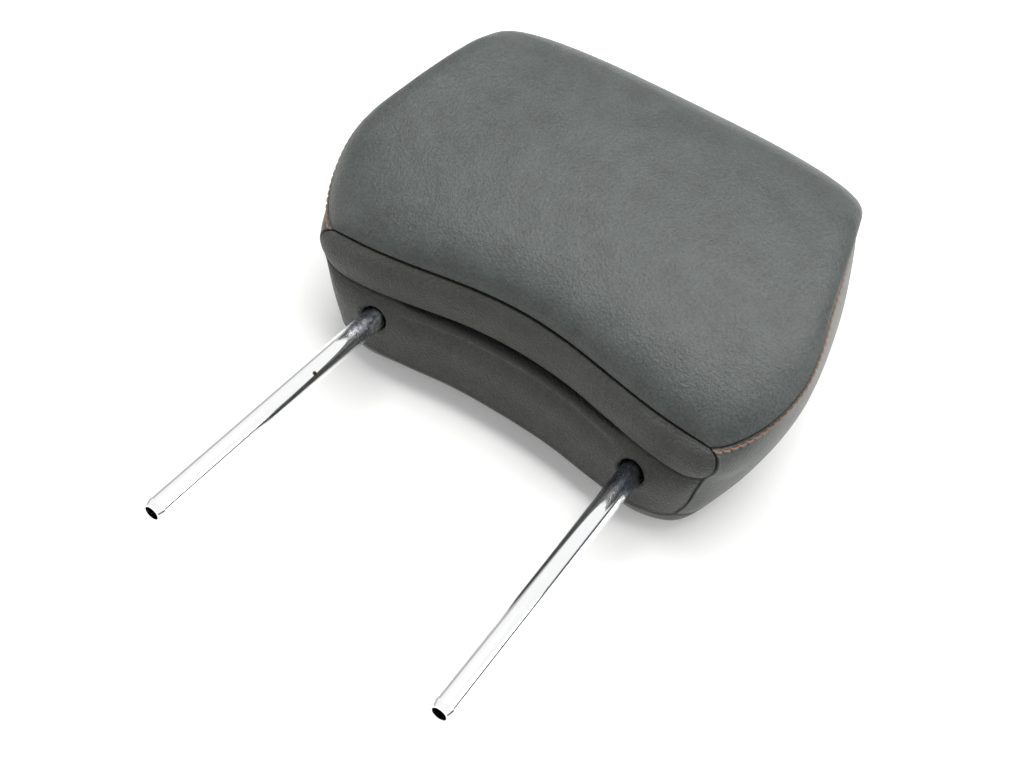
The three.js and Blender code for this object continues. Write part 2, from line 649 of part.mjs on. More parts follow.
addPart('post_frame', postFrame(), chrome);
addPart('cover_front_panel', coverPanel(faceGrid, false), leather);
addPart('cover_bottom_band', coverPanel(bandGrid, true), lowerLeather);
addPart('cover_lower_panel', cut(coverPanel(lowerGrid, true), ...postHoles), lowerLeather);
addPart('cover_right_gusset', coverPanel(gussetGrid, true), leather);
addPart('cover_left_gusset', coverPanel(mirrorGrid(gussetGrid), false), leather);
addPart('cover_back_panel', coverPanel(backGrid, true), leather);
addPart('foam_core', cut(padCore(), ...postHoles, tubeRoom(), slotRoom(),
  carrierBlock(CLEARANCE, -SHELL_THICKNESS - CLEARANCE, SHELL_THICKNESS + CLEARANCE)), foam);
addPart('carrier_rear_shell', cut(carrierBlock(0, -SHELL_THICKNESS, -CLEARANCE / 2), tubeRoom(),
  ...screwRooms()), plastic);
addPart('carrier_front_shell', cut(carrierBlock(0, CLEARANCE / 2, SHELL_THICKNESS), tubeRoom(),
  ...screwRooms()), plastic);
screwPlaces.forEach((at, i) => {
  addPart(`carrier_screw_${i + 1}`, screw(), zinc).position.copy(at);
});
const strip = (start, rise) => edgeBar(STRIP_LENGTH / 2, stripReach(start), rise, STRIP_STEP_COUNT);
addPart('closure_strip_upper', strip(bandBack, stripUp), plastic);
addPart('closure_strip_lower', strip(lipBack, stripDown), plastic);
addPart('stitch_thread_right', stitchThread(1), thread);
addPart('stitch_thread_left', stitchThread(-1), thread);

// the origin is the middle of the footprint, on the surface that the pad's back lies on
const box = new THREE.Box3().setFromObject(pad);
pad.position.set(-(box.min.x + box.max.x) / 2, -(box.min.y + box.max.y) / 2, -box.min.z);

export default root;
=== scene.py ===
"""Looks of a leather covered car headrest that lies on its back, with its two chromed posts in the air."""
import math

import bpy
import numpy as np
from mathutils import Matrix, Vector


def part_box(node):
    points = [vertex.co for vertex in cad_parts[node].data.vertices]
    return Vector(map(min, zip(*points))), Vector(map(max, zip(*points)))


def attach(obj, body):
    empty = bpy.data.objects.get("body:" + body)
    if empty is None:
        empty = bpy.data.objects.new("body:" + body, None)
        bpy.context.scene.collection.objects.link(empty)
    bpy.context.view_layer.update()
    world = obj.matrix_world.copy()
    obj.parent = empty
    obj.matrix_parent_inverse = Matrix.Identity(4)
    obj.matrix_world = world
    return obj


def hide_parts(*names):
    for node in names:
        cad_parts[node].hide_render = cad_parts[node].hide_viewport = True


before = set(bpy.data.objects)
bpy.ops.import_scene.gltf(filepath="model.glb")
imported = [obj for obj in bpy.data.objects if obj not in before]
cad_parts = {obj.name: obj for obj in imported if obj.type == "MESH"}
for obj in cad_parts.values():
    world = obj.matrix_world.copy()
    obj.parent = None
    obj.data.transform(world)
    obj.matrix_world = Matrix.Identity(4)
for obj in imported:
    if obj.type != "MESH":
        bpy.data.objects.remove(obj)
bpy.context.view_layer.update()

# Driving dimensions of the pad, in millimetres, as the solids have them
PAD_WIDTH = 255.0
FACE_LENGTH = 166.0
PAD_DEPTH = 100.0
GUSSET_BULGE = 4.8
BACK_BULGE = (1.5, 16.0)  # how far the back panel swells beside its seams, and over what width
BAND_BULGE = 4.0
LOWER_BULGE = 5.0
CORNER_SQUARENESS = 3.1
SLIT_WIDTH = 142.0
SLIT_DEPTH = 9.0
SLIT_END = 9.0  # how suddenly the slit opens at its ends
FACE_ROLL = (5.5, 15.0)  # how full the face is near its seams, and over what width
SLIT_GAP = 1.0
SLIT_FADE = 0.3  # share of the lower panel over which the gap closes again
SLIT_MOUTH = (0.012, 0.034)  # share of the lower panel inside the slit: at its ends, and more in its middle
SLIT_PAINTED_SHADE = (0.8, 1.7)  # in widths of the mouth: where the painted shade inside the slit starts to fade, and over how much
FOLD_RIDGE = (1.3, 0.105, 0.055)  # height, place and width of the rounded lip under the slit
FOLD_VALLEY = (2.0, 0.26, 0.09)  # the same for the valley below that lip
ROLL_INNER = 3.5  # how many times longer the roll fades out than it rises
ROLL_LEAN = (0.2, 0.7, 1)  # the roll rises mostly straight up
ROLL_END = (0.5, 0.25)  # share of the face where the roll starts to fade, and over how much
FACE_ARCH = 0.91
FACE_TOP = 0.64
TOP_BLEND = 0.6  # share of the face over which its rows turn from an arch to the top edge's shape
TOP_QUARTER = (105, 20)  # size of a quarter of the top edge, for the spacing of its points
BACK_ROLL = (30.0, 26.0)
BACK_CORNERS = (0.55, 0.25)  # share of the half width where the back's swell starts, and over how much
END_ROOM = 0.2  # share of the half width over which the band and the lower panel flatten to their ends
CORNER_FADE = 8  # how fast the shape of the band's end fades along the side panel
GUSSET_ROOM = (0.45, 0.35)  # share of the side panel over which it flattens to its lower and upper end

# The posts
POST_RADIUS = 6.0
BORE_RADIUS = 3.6
TIP_CHAMFER = (1.2, 3.2)  # how far the radius narrows, over what length
POST_SPACING = 156.0
POST_LENGTH = 174.0
POST_TILT = math.radians(13.87)
BEND_FROM_CORNER = 14.94
FRAME_HEIGHT = 36.0
FRAME_RISE = 105.0
KNEE_RADIUS = 45.0
SHOULDER_RADIUS = 30.0
CARRIER_MARGIN = 12.0
CARRIER_FROM_BEND = 23.0
NOTCHES = [35 + 20 * i for i in range(5)]  # millimetres from the left tip
NOTCH_WIDTH = 3.0
NOTCH_DEPTH = 1.0
TUBE_SIDES = 64
TIP_MARKS = (0.3, 2.9, 3.2, 3.5, 4, 8)  # close steps along the tube at each tip

# The cover
SEAM_HALF_GAP = 0.3
SEAM_CREASE = (2.2, 0.34)  # depth, and how fast it fades from the seam
SEAM_SOFT = (0.9, 4.0)
SEAM_LIP = (0.35, 1.1, 0.5)  # height, distance from the seam, width
RIM_DEPTH = 5.0
STITCH_PITCH = 3.9
STITCH_LENGTH = 4.5
STITCH_RADIUS = 0.62
STITCH_ROW = 0.034  # share of the side panel between the seam and the stitches
STITCH_SIDES = 10
STITCH_STEPS = 8
STITCH_BOW = (0.9, -0.3, 0.35)  # how far a stitch bows from the seam, is shifted and slants
STITCH_SINK = (0.4, 0.8)  # how high its middle stands over the leather, and how far its ends sink

# Lengths along the cover for the spacing of its grids, in millimetres
PANEL_ACROSS = 215
BAND_DOWN = 27
LOWER_DOWN = 34
GUSSET_ALONG = 150
GUSSET_DOWN = 82
BACK_ALONG = 165
FRONT_OVER = 240

# The pad's curves, as shares of half its width, its face length and its depth
SIDE_SEAM = [
    (0.853, -0.413, 0.79), (0.903, -0.383, 0.8), (0.955, -0.331, 0.822), (1.003, -0.253, 0.86),
    (1.028, -0.145, 0.928), (1.01, -0.042, 0.982), (0.971, 0.066, 1.008), (0.929, 0.193, 1.012),
    (0.885, 0.33, 0.995), (0.859, 0.418, 0.945), (0.844, 0.466, 0.85), (0.836, 0.491, 0.71),
    (0.829, 0.496, 0.54), (0.817, 0.488, 0.38), (0.8, 0.47, 0.24),
]
MIDDLE_LINE = [
    (0, -0.343, 0.81), (0, -0.325, 0.865), (0, -0.283, 0.93), (0, -0.211, 0.985),
    (0, -0.09, 1.025), (0, 0.06, 1.05), (0, 0.211, 1.055), (0, 0.349, 1.045),
    (0, 0.468, 1.02), (0, 0.543, 0.962), (0, 0.593, 0.88), (0, 0.61, 0.74),
    (0, 0.61, 0.58), (0, 0.598, 0.4), (0, 0.565, 0.24),
]
BACK_SIDE = [
    (0.812, -0.48, 0.2), (0.862, -0.433, 0.155), (0.902, -0.363, 0.145), (0.937, -0.28, 0.16),
    (0.959, -0.16, 0.185), (0.965, -0.042, 0.205), (0.957, 0.072, 0.215), (0.926, 0.2, 0.222),
    (0.878, 0.325, 0.23), (0.836, 0.42, 0.235), (0.8, 0.47, 0.24),
]
CORNER_SEAM = [
    (0.853, -0.413, 0.79), (0.895, -0.427, 0.765), (0.905, -0.438, 0.7), (0.876, -0.448, 0.6),
    (0.861, -0.457, 0.48), (0.845, -0.465, 0.32), (0.812, -0.48, 0.2),
]
BAND_EDGE = [
    (0, -0.37, 0.52), (0.235, -0.382, 0.52), (0.455, -0.415, 0.525), (0.643, -0.442, 0.53),
    (0.8, -0.453, 0.55), (0.876, -0.448, 0.6),
]
BACK_BOTTOM = [
    (0, -0.488, 0.2), (0.235, -0.494, 0.2), (0.455, -0.516, 0.2), (0.607, -0.525, 0.2),
    (0.7, -0.515, 0.196), (0.765, -0.5, 0.194), (0.812, -0.48, 0.2),
]
PAD_SCALE = np.array([PAD_WIDTH / 2, FACE_LENGTH, PAD_DEPTH])
KNEE_Y = CORNER_SEAM[-1][1] * FACE_LENGTH + BEND_FROM_CORNER
MIRROR = np.array([-1.0, 1.0, 1.0])


# Curves and shares

class Spline:
    """A centripetal Catmull-Rom curve through points, read by its own steps or by its real length."""

    def __init__(self, points):
        points = np.asarray(points, float)
        ends = [2 * points[0] - points[1], 2 * points[-1] - points[-2]]
        knots = np.vstack([ends[0], points, ends[1]])
        self.spans = len(points) - 1
        self.t = np.linspace(0, 1, 1601)
        place = self.t * self.spans
        index = np.minimum(place.astype(int), self.spans - 1)
        w = (place - index)[:, None]
        p0, p1, p2, p3 = (knots[index + k] for k in range(4))
        d0, d1, d2 = (np.sum((b - a) ** 2, axis=1, keepdims=True) ** 0.25
                      for a, b in ((p0, p1), (p1, p2), (p2, p3)))
        t1 = ((p1 - p0) / d0 - (p2 - p0) / (d0 + d1) + (p2 - p1) / d1) * d1
        t2 = ((p2 - p1) / d1 - (p3 - p1) / (d1 + d2) + (p3 - p2) / d2) * d1
        self.points = (p1 + t1 * w + (-3 * p1 + 3 * p2 - 2 * t1 - t2) * w ** 2
                       + (2 * p1 - 2 * p2 + t1 + t2) * w ** 3)
        steps = np.linalg.norm(np.diff(self.points, axis=0), axis=1)
        self.run = np.concatenate([[0], np.cumsum(steps)])
        self.length = self.run[-1]

    def _read(self, grid, where):
        where = np.asarray(where, float)
        return np.stack([np.interp(where, grid, values) for values in self.points.T], axis=-1)

    def step(self, t):
        return self._read(self.t, t)

    def at(self, share):
        return self._read(self.run / self.length, share)


def pad_spline(rows):
    return Spline(np.array(rows) * PAD_SCALE)


def mirrored(half):
    return pad_spline([(-x, y, z) for x, y, z in reversed(half[1:])] + list(half))


def clamp01(t):
    return np.clip(t, 0, 1)


def soft(t):
    t = clamp01(t)
    return t * t * (3 - 2 * t)


def arch(t):
    return 0.5 + 0.5 * np.cos(np.pi * clamp01(t))


def pillow(t):
    return 1 - (1 - clamp01(t)) ** 2.2


def swell(t):
    return np.sin(np.pi * clamp01(t)) ** 0.8


def belly(t):
    return np.sin(np.pi * clamp01(t)) ** 1.3


def hump(places, shape):
    """A rounded rise across a line, from its height, place and width."""
    height, middle, width = shape
    return height * np.exp(-((places - middle) / width) ** 2)


def column(values):
    return np.asarray(values, float)[..., None]


def signed(p):
    """A share from 0 to 1 as a place from -1 to 1."""
    return 2 * p - 1


side_seam = pad_spline(SIDE_SEAM)
middle_line = pad_spline(MIDDLE_LINE)
back_side = pad_spline(BACK_SIDE)
corner_seam = pad_spline(CORNER_SEAM)
band_edge = mirrored(BAND_EDGE)
back_bottom = mirrored(BACK_BOTTOM)
quarter_angles = np.linspace(0, np.pi / 2, 400)
quarter_power = 2 / CORNER_SQUARENESS
quarter_shape = np.stack([np.sin(quarter_angles), np.cos(quarter_angles)], 1) ** quarter_power
quarter_steps = np.linalg.norm(np.diff(quarter_shape * TOP_QUARTER, axis=0), axis=1)
quarter_run = np.concatenate([[0], np.cumsum(quarter_steps)])
quarter_run /= quarter_run[-1]


def top_quarter(share):
    return tuple(np.interp(share, quarter_run, quarter_shape[:, k]) for k in (0, 1))


# The pad's outer surface, one function for each panel, as the solids have it

# the core is the box that every point's outward direction starts from
CORE_LOW = np.array((-0.6, -0.21, 0.36)) * PAD_SCALE
CORE_HIGH = np.array((0.6, 0.33, 0.6)) * PAD_SCALE
CORE_SOFT = 5.0  # rounds the turn of the direction where a point passes the core's edges


def outward(points):
    """The direction away from the pad's core at each point."""
    out = points - np.clip(points, CORE_LOW, CORE_HIGH)
    out = np.sign(out) * (np.hypot(out, CORE_SOFT) - CORE_SOFT)
    return out / np.linalg.norm(out, axis=-1, keepdims=True)


def edge_roll(distance):
    """How much fuller the face is at a distance from its seam."""
    rise, width = FACE_ROLL
    return rise * (pillow(distance / width) - pillow(distance / width / ROLL_INNER))


def face_point(a, v):
    side = side_seam.at(v)
    middle = middle_line.at(v)
    wide, high = top_quarter(np.abs(a))
    toward_top = soft(v / TOP_BLEND)
    x = ((1 - toward_top) * np.abs(a) + toward_top * wide) * np.sign(a)
    lift = (1 - toward_top) * arch(np.abs(a) / FACE_ARCH) + toward_top * high
    point = np.stack([side[..., 0] * x, side[..., 1] + (middle[..., 1] - side[..., 1]) * lift,
                      side[..., 2] + (middle[..., 2] - side[..., 2]) * high], axis=-1)
    from_seam = np.minimum(v * side_seam.length, (1 - np.abs(x)) * PAD_WIDTH / 2)
    rise = outward(point) * ROLL_LEAN
    return point + rise * column(edge_roll(from_seam) * (1 - soft((v - ROLL_END[0]) / ROLL_END[1])))


def blended(left, right, top, bottom, p, q):
    """A patch between four border curves."""
    pc, qc = column(p), column(q)
    zero, one = np.zeros_like(p), np.ones_like(p)
    sides = left(q) * (1 - pc) + right(q) * pc
    ends = top(p) * (1 - qc) + bottom(p) * qc
    corners = (left(zero) * (1 - pc) * (1 - qc) + right(zero) * pc * (1 - qc)
               + left(one) * (1 - pc) * qc + right(one) * pc * qc)
    return sides + ends - corners


def end_room(a):
    return pillow((1 - np.abs(a)) / END_ROOM)


def band_point(a, t):
    def right(q):
        return corner_seam.step(q / 2)
    point = blended(lambda q: right(q) * MIRROR, right, lambda p: face_point(2 * p - 1, np.zeros_like(p)),
                    band_edge.at, (a + 1) / 2, t)
    # the power makes it fuller toward its lower lip
    return point + outward(point) * column(BAND_BULGE * swell(t ** 1.5) * end_room(a))


def slit_open(x):
    """How wide the slit stands open: 1 in its middle, 0 at its ends."""
    return clamp01(1 - (x / (SLIT_WIDTH / 2)) ** 2) ** 0.75


def slit_share(x):
    return soft((1 - np.abs(x) / (SLIT_WIDTH / 2)) * SLIT_END)


def slit_mouth(opening):
    return SLIT_MOUTH[0] + SLIT_MOUTH[1] * opening


def lower_point(a, t):
    def right(q):
        return corner_seam.step(0.5 + q / 2)
    point = blended(lambda q: right(q) * MIRROR, right, band_edge.at, back_bottom.at, (a + 1) / 2, t)
    opening = slit_open(point[..., 0])
    slit = slit_share(point[..., 0]) * (1 - soft(t / slit_mouth(opening)))
    fold = soft(opening * 1.6) * (hump(t, FOLD_RIDGE) - hump(t, FOLD_VALLEY))
    bulge = LOWER_BULGE * 2.6 * t ** 0.8 * (1 - t) ** 1.5 * end_room(a)
    point[..., 2] -= SLIT_GAP * opening * (1 - soft(t / SLIT_FADE))
    return point + outward(point) * column(bulge - SLIT_DEPTH * slit + fold)


def gusset_point(b, c):
    point = blended(corner_seam.step, lambda q: side_seam.at(FACE_TOP + q * (1 - FACE_TOP)),
                    lambda p: side_seam.at(p * FACE_TOP), back_side.at, b, c)
    # the shape of the band's end fades fast along the side panel
    start, end = corner_seam.step(np.zeros_like(c)), corner_seam.step(np.ones_like(c))
    plain = start * (1 - column(c)) + end * column(c)
    point += (corner_seam.step(c) - plain) * column((1 - b) ** CORNER_FADE - (1 - b))
    room = pillow(b / GUSSET_ROOM[0]) * pillow((1 - b) / GUSSET_ROOM[1])
    return point + outward(point) * column(GUSSET_BULGE * belly(c) * room)


def back_point(a, b):
    point = blended(lambda q: back_side.at(q) * MIRROR, back_side.at, back_bottom.at,
                    lambda p: face_point(2 * p - 1, np.ones_like(p)), (a + 1) / 2, b)
    from_side = (1 - np.abs(a)) * PAD_WIDTH / 2
    from_end = np.minimum(b, 1 - b) * FACE_LENGTH
    point[..., 2] *= 1 - pillow(from_side / BACK_ROLL[0]) * pillow(from_end / BACK_ROLL[1])
    bulge = BACK_BULGE[0] * belly(np.minimum(from_side, from_end) / BACK_BULGE[1])
    return point + outward(point) * column(bulge * soft((np.abs(a) - BACK_CORNERS[0]) / BACK_CORNERS[1]))


# Places in the frame

carrier_low, carrier_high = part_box("carrier_rear_shell")
CARRIER_MIDDLE_Y = KNEE_Y + (FRAME_RISE + CARRIER_MARGIN + CARRIER_FROM_BEND) / 2
PAD_SHIFT = (carrier_low[1] + carrier_high[1]) / 2 - CARRIER_MIDDLE_Y / 1000


def to_frame(points):
    """Millimetres of the pad's own axes to metres of the frame."""
    return np.asarray(points) / 1000 + np.array([0, PAD_SHIFT, 0])


POST_DIRECTION = np.array([0, math.cos(POST_TILT), -math.sin(POST_TILT)])
POST_UP = np.array([0, math.sin(POST_TILT), math.cos(POST_TILT)])


def knee_at(side):
    return np.array([side * POST_SPACING / 2, KNEE_Y, FRAME_HEIGHT])


def tip_at(side):
    return knee_at(side) - POST_DIRECTION * POST_LENGTH


# Mesh helpers

def add_object(name, vertices, faces, materials, smooth=True):
    mesh = bpy.data.meshes.new(name)
    mesh.from_pydata([tuple(v) for v in vertices], [], [tuple(int(i) for i in f) for f in faces])
    mesh.polygons.foreach_set("use_smooth", [smooth] * len(mesh.polygons))
    mesh.update()
    obj = bpy.data.objects.new(name, mesh)
    bpy.context.collection.objects.link(obj)
    for material in materials:
        mesh.materials.append(material)
    return obj


NEAR_SEAM = np.array([0, 0.25, 0.5, 0.8, 1.2, 1.7, 2.3, 3.1, 4.1, 5.3, 6.8, 8.6])


def stations(length, coarse, extra=()):
    """Shares of a length, close together near both ends and at the extra places, given in millimetres."""
    near = NEAR_SEAM + SEAM_HALF_GAP
    middle = np.linspace(near[-1], length - near[-1], max(3, int((length - 2 * near[-1]) / coarse)))
    places = np.concatenate([near, middle[1:-1], length - near[::-1]])
    for centre, reach, step in extra:
        places = places[np.abs(places - centre) > reach]
        places = np.concatenate([places, np.arange(centre - reach, centre + reach + step / 2, step)])
    return np.sort(places) / length


def seam_distance(points, sides):
    """How far each grid point is from the nearest seam, along the surface."""
    def run(axis):
        steps = np.linalg.norm(np.diff(points, axis=axis), axis=-1)
        pad = [(0, 0), (0, 0)]
        pad[axis] = (1, 0)
        return np.pad(np.cumsum(steps, axis=axis), pad)
    along, down = run(1), run(0)
    every = {"left": along, "right": along[:, -1:] - along, "top": down, "bottom": down[-1:] - down}
    return np.minimum.reduce([every[side] for side in sides])


def grid_faces(rows, columns, flip):
    i, j = np.meshgrid(np.arange(rows - 1), np.arange(columns - 1), indexing="ij")
    a = (i * columns + j).ravel()
    quads = np.stack([a, a + 1, a + columns + 1, a + columns], 1)
    return quads[:, ::-1] if flip else quads


def seam_drop(distance):
    """How far the cover is drawn in at a distance from its seam, with a small lip beside the crease."""
    crease, softness = SEAM_CREASE, SEAM_SOFT
    return (crease[0] * np.exp(-distance / crease[1]) + softness[0] * np.exp(-distance / softness[1])
            - hump(distance, SEAM_LIP))


def cover_panel(name, surface, p_shares, q_shares, flip, materials):
    """A panel of the cover with its edges drawn in at the seams and turned under."""
    p, q = np.meshgrid(p_shares, q_shares)
    points = surface(p, q)
    distance = seam_distance(points, ("left", "right", "top", "bottom"))
    out = outward(points)
    points = points - out * column(seam_drop(distance))
    rows, columns = p.shape
    faces = list(grid_faces(rows, columns, flip))
    numbers = np.arange(rows * columns).reshape(rows, columns)
    loop = np.concatenate([numbers[0, :-1], numbers[:-1, -1], numbers[-1, :0:-1], numbers[:0:-1, 0]])
    vertices = points.reshape(-1, 3)
    rim = vertices[loop] - out.reshape(-1, 3)[loop] * RIM_DEPTH
    count = len(loop)
    start = len(vertices)
    for k in range(count):
        nxt = (k + 1) % count
        quad = (loop[k], start + k, start + nxt, loop[nxt])
        faces.append(quad[::-1] if flip else quad)
    return add_object(name, to_frame(np.vstack([vertices, rim])), faces, materials)


# Materials

def new_material(name):
    material = bpy.data.materials.new(name)
    material.use_nodes = True
    tree = material.node_tree
    shader = tree.nodes["Principled BSDF"]
    return material, tree, shader


def node(tree, kind, inputs=None, **values):
    made = tree.nodes.new(kind)
    for key, value in values.items():
        setattr(made, key, value)
    for key, value in (inputs or {}).items():
        made.inputs[key].default_value = value
    return made


def ramp(tree, stops, source):
    made = tree.nodes.new("ShaderNodeValToRGB")
    elements = made.color_ramp.elements
    while len(elements) < len(stops):
        elements.new(0.5)
    for element, (place, colour) in zip(elements, stops):
        element.position = place
        element.color = (*colour, 1)
    tree.links.new(source, made.inputs["Fac"])
    return made


def ranged(tree, source, inputs):
    """A value carried from one range to another."""
    made = node(tree, "ShaderNodeMapRange", inputs)
    tree.links.new(source, made.inputs["Value"])
    return made.outputs["Result"]


def computed(tree, operation, *sources):
    """The result of one operation on sockets or plain numbers."""
    made = node(tree, "ShaderNodeMath", operation=operation)
    for socket, source in zip(made.inputs, sources):
        if isinstance(source, (int, float)):
            socket.default_value = source
        else:
            tree.links.new(source, socket)
    return made.outputs[0]


def spot(tree, place, centre, radius):
    """1 inside a small round spot on the surface, 0 outside it."""
    away = node(tree, "ShaderNodeVectorMath", {1: tuple(centre)}, operation="DISTANCE")
    tree.links.new(place.outputs["Object"], away.inputs[0])
    return ranged(tree, away.outputs["Value"], {"From Min": radius, "From Max": radius * 0.6})


def mixed(tree, share, first, second):
    """A colour between two, each a socket or a plain colour."""
    made = node(tree, "ShaderNodeMix", data_type="RGBA")
    tree.links.new(share, made.inputs["Factor"])
    for key, source in (("A", first), ("B", second)):
        socket = next(s for s in made.inputs if s.name == key and s.type == "RGBA")
        if isinstance(source, tuple):
            socket.default_value = (*source, 1)
        else:
            tree.links.new(source, socket)
    return next(s for s in made.outputs if s.type == "RGBA")


def leather(name, colour, roughness, grain=0.9, dirt=None):
    """Fine grained leather: a cell grain with soft undulation, a little colour drift, uneven sheen, and
    painted shade where the mesh's depth attribute is set.
    """
    material, tree, shader = new_material(name)
    link = tree.links.new
    place = node(tree, "ShaderNodeTexCoord")
    cells = node(tree, "ShaderNodeTexVoronoi", {"Scale": 900, "Randomness": 1.0}, feature="SMOOTH_F1")
    pores = node(tree, "ShaderNodeTexNoise", {"Scale": 1900, "Detail": 3, "Roughness": 0.6})
    folds = node(tree, "ShaderNodeTexNoise",
                 {"Scale": 260, "Detail": 4, "Roughness": 0.6, "Distortion": 0.8})
    cloud = node(tree, "ShaderNodeTexNoise", {"Scale": 70, "Detail": 3, "Roughness": 0.55})
    fleck = node(tree, "ShaderNodeTexNoise", {"Scale": 750, "Detail": 3, "Roughness": 0.75})
    for texture in (cells, pores, folds, cloud, fleck):
        link(place.outputs["Object"], texture.inputs["Vector"])
    drift = node(tree, "ShaderNodeMix", {"Factor": 0.7}, data_type="FLOAT")
    link(cloud.outputs["Fac"], drift.inputs["A"])
    link(fleck.outputs["Fac"], drift.inputs["B"])
    dark = tuple(c * 0.64 for c in colour)
    light = tuple(c * 1.4 for c in colour)
    tint = ramp(tree, [(0.34, dark), (0.66, light)], drift.outputs["Result"]).outputs["Color"]
    for centre, radius, shade in dirt or ():
        tint = mixed(tree, spot(tree, place, centre, radius), tint, shade)
    # painted shade: the mesh's depth attribute darkens the leather to near-black inside the slit
    depth = node(tree, "ShaderNodeAttribute", attribute_name="depth")
    tint = mixed(tree, depth.outputs["Fac"], tint, (0.001, 0.001, 0.001))
    link(tint, shader.inputs["Base Color"])
    rough = ranged(tree, fleck.outputs["Fac"], {"To Min": roughness - 0.08, "To Max": roughness + 0.1})
    link(rough, shader.inputs["Roughness"])
    relief = node(tree, "ShaderNodeMix", {"Factor": 0.4}, data_type="FLOAT")
    link(cells.outputs["Distance"], relief.inputs["A"])
    link(pores.outputs["Fac"], relief.inputs["B"])
    bump = node(tree, "ShaderNodeBump", {"Strength": 1.0, "Distance": 0.0004 * grain})
    link(relief.outputs["Result"], bump.inputs["Height"])
    creases = node(tree, "ShaderNodeBump", {"Strength": 0.35, "Distance": 0.0008})
    link(folds.outputs["Fac"], creases.inputs["Height"])
    link(bump.outputs["Normal"], creases.inputs["Normal"])
    waves = node(tree, "ShaderNodeBump", {"Strength": 0.15, "Distance": 0.002})
    link(cloud.outputs["Fac"], waves.inputs["Height"])
    link(creases.outputs["Normal"], waves.inputs["Normal"])
    link(waves.outputs["Normal"], shader.inputs["Normal"])
    shader.inputs["Specular IOR Level"].default_value = 0.32
    shader.inputs["Sheen Weight"].default_value = 0.2
    shader.inputs["Sheen Roughness"].default_value = 0.3
    shader.inputs["Sheen Tint"].default_value = (1.0, 0.96, 0.84, 1)
    return material


def chrome():
    """Polished plating, scuffed dull where the posts enter the pad and painted dark there with a reflection
    of the pad, with a brown speck on one.
    """
    material, tree, shader = new_material("post_chrome")
    link = tree.links.new
    place = node(tree, "ShaderNodeTexCoord")
    along = node(tree, "ShaderNodeSeparateXYZ")
    streak = node(tree, "ShaderNodeMapping")
    streak.inputs["Scale"].default_value = (900, 60, 900)
    rub = node(tree, "ShaderNodeTexNoise", {"Scale": 1.0, "Detail": 4, "Roughness": 0.6})
    blotch = node(tree, "ShaderNodeTexNoise",
                  {"Scale": 230, "Detail": 5, "Roughness": 0.7, "Distortion": 1.2})
    link(place.outputs["Object"], streak.inputs["Vector"])
    link(streak.outputs["Vector"], rub.inputs["Vector"])
    for target in (along, blotch):
        link(place.outputs["Object"], target.inputs["Vector"])
    # the scuffed stretch, painted dark with the pad's reflection, starts raggedly and grows toward the pad
    near_pad = ranged(tree, along.outputs["Y"], {"From Min": WEAR_AND_REFLECTION_FROM, "From Max": WEAR_AND_REFLECTION_FULL})
    ragged = computed(tree, "MULTIPLY_ADD", blotch.outputs["Fac"], 1.5, -1.0)
    wear_and_dark_reflection = ranged(tree, computed(tree, "ADD", near_pad, ragged), {"From Min": 0.3, "From Max": 0.7})
    # painted reflection: near-black to grey tones on the right post, lighter ones on the left
    right_post_reflection = ramp(tree, RIGHT_POST_REFLECTION_TONES, blotch.outputs["Fac"])
    left_post_reflection = ramp(tree, LEFT_POST_REFLECTION_TONES, blotch.outputs["Fac"])
    which_post = ranged(tree, along.outputs["X"], {"From Min": -0.01, "From Max": 0.01})
    dark_reflection_tone = mixed(tree, which_post, left_post_reflection.outputs["Color"], right_post_reflection.outputs["Color"])
    tint = mixed(tree, wear_and_dark_reflection, PLATE_COLOUR, dark_reflection_tone)
    tint = mixed(tree, spot(tree, place, to_frame(BROWN_SPECK), BROWN_SPECK_RADIUS), tint, BROWN_SPECK_COLOUR)
    link(tint, shader.inputs["Base Color"])
    rough = ranged(tree, rub.outputs["Fac"],
                   {"From Min": 0.35, "From Max": 0.75, "To Min": 0.03, "To Max": 0.13})
    link(computed(tree, "MULTIPLY_ADD", wear_and_dark_reflection, 0.25, rough), shader.inputs["Roughness"])
    shader.inputs["Metallic"].default_value = 1.0
    return material


def rough_dark(name, colour, roughness, scale):
    """Foam, plastic and other plain matter, with a fine broken surface."""
    material, tree, shader = new_material(name)
    link = tree.links.new
    place = node(tree, "ShaderNodeTexCoord")
    grit = node(tree, "ShaderNodeTexNoise", {"Scale": scale, "Detail": 4, "Roughness": 0.6})
    link(place.outputs["Object"], grit.inputs["Vector"])
    tint = ramp(tree, [(0.3, tuple(c * 0.75 for c in colour)), (0.7, tuple(c * 1.2 for c in colour))],
                grit.outputs["Fac"])
    link(tint.outputs["Color"], shader.inputs["Base Color"])
    bump = node(tree, "ShaderNodeBump", {"Strength": 0.3, "Distance": 0.0004})
    link(grit.outputs["Fac"], bump.inputs["Height"])
    link(bump.outputs["Normal"], shader.inputs["Normal"])
    shader.inputs["Roughness"].default_value = roughness
    return material


# Small marks, in the pad's own axes
# a small brown speck on the left post
BROWN_SPECK = (-74.1, -129.6, 56.8)
DIRT_SPOT = (0.6, -76.2, 31.7)
# where the scuffed stretch with its painted dark reflection starts and where it is full, along the posts
WEAR_AND_REFLECTION_FROM = to_frame((0, -112.0, 0))[1]
WEAR_AND_REFLECTION_FULL = to_frame((0, -94.0, 0))[1]
BROWN_SPECK_RADIUS = 0.0014
BROWN_SPECK_COLOUR = (0.06, 0.03, 0.015)
PLATE_COLOUR = (0.93, 0.935, 0.94)
# painted reflection: tones of the dark stretch near the pad, darker on the right post than on the left
RIGHT_POST_REFLECTION_TONES = [(0.35, (0.035, 0.045, 0.065)), (0.6, (0.16, 0.18, 0.22)), (0.72, (0.42, 0.44, 0.48))]
LEFT_POST_REFLECTION_TONES = [(0.35, (0.13, 0.15, 0.18)), (0.52, (0.4, 0.42, 0.46)), (0.64, (0.8, 0.82, 0.85))]

